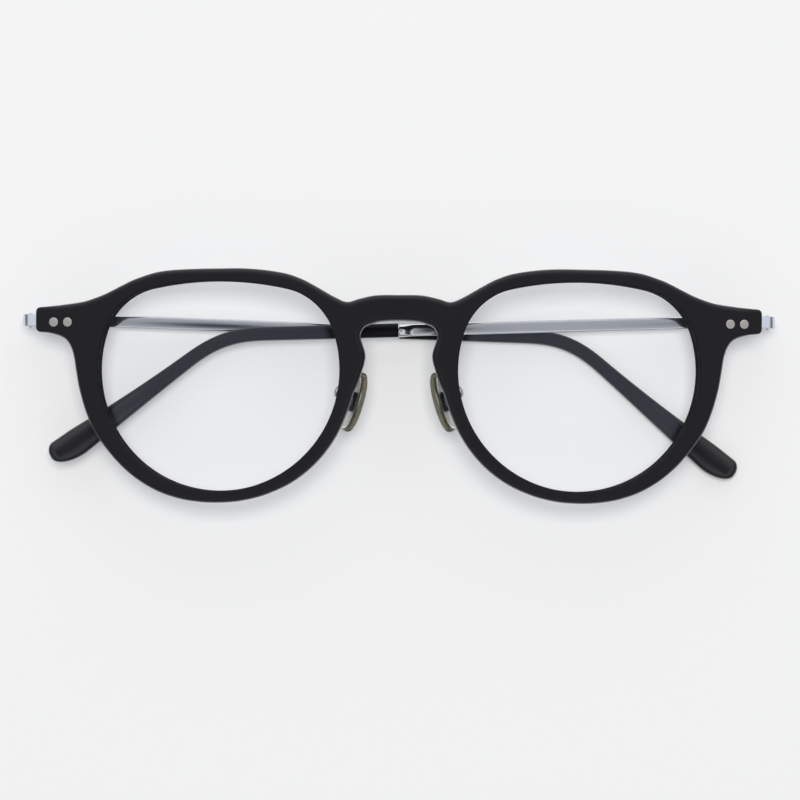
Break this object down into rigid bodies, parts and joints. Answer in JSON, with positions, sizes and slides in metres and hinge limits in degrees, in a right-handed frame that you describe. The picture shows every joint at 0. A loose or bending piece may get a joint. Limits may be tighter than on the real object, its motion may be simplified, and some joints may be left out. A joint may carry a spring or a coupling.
{
  "type": "eyeglasses",
  "caption": "Folded round eyeglasses: black keyhole-bridge acetate front, clear lenses, hinged metal temples with acetate tips, and rocking nose pads.",
  "frame": {"origin": "on the surface that the folded glasses lie on, below the middle of the front", "axes": "+X towards the wearer's left, +Y up the wearer's face, +Z out of the front of the glasses"},
  "size_m": [0.1448, 0.0446, 0.0195],
  "materials": {
    "black_acetate": "satin black acetate with softly polished edges",
    "lens": "clear, coated against reflections",
    "temple_metal": "polished cool-toned titanium",
    "rivet_metal": "satin",
    "nylon": "natural",
    "pad_silicone": "smoky translucent"
  },
  "bodies": {
    "front": {"front_frame": "black_acetate", "lens_left": "lens", "lens_right": "lens", "rivet_left_inner": "rivet_metal", "rivet_left_outer": "rivet_metal", "rivet_right_inner": "rivet_metal", "rivet_right_outer": "rivet_metal", "end_plate_left": "temple_metal", "hinge_screw_left": "temple_metal", "hinge_washer_left_upper": "nylon", "hinge_washer_left_lower": "nylon", "pad_arm_left": "temple_metal", "pad_screw_left": "temple_metal", "end_plate_right": "temple_metal", "hinge_screw_right": "temple_metal", "hinge_washer_right_upper": "nylon", "hinge_washer_right_lower": "nylon", "pad_arm_right": "temple_metal", "pad_screw_right": "temple_metal"},
    "left_temple": {"temple_bar_left": "temple_metal", "temple_tip_left": "black_acetate"},
    "left_nose_pad": {"nose_pad_left": "pad_silicone", "pad_core_left": "temple_metal"},
    "right_temple": {"temple_bar_right": "temple_metal", "temple_tip_right": "black_acetate"},
    "right_nose_pad": {"nose_pad_right": "pad_silicone", "pad_core_right": "temple_metal"}
  },
  "joints": [
    {"name": "left_temple_hinge", "type": "hinge", "parent": "front", "child": "left_temple", "pos_m": [0.07056, 0.0126, 0.00459], "axis": [0, -1, 0], "range_deg": [0, 92.5]},
    {"name": "right_temple_hinge", "type": "hinge", "parent": "front", "child": "right_temple", "pos_m": [-0.07056, 0.0126, 0.00459], "axis": [0, 1, 0], "range_deg": [0, 90.5]},
    {"name": "left_pad_rock", "type": "hinge", "parent": "front", "child": "left_nose_pad", "pos_m": [0.01035, -0.00243, 0.0115], "axis": [-0.4513, -0.1294, 0.8829], "range_deg": [-12, 12]},
    {"name": "right_pad_rock", "type": "hinge", "parent": "front", "child": "right_nose_pad", "pos_m": [-0.01035, -0.00243, 0.0115], "axis": [0.4513, -0.1294, 0.8829], "range_deg": [-12, 12]}
  ]
}
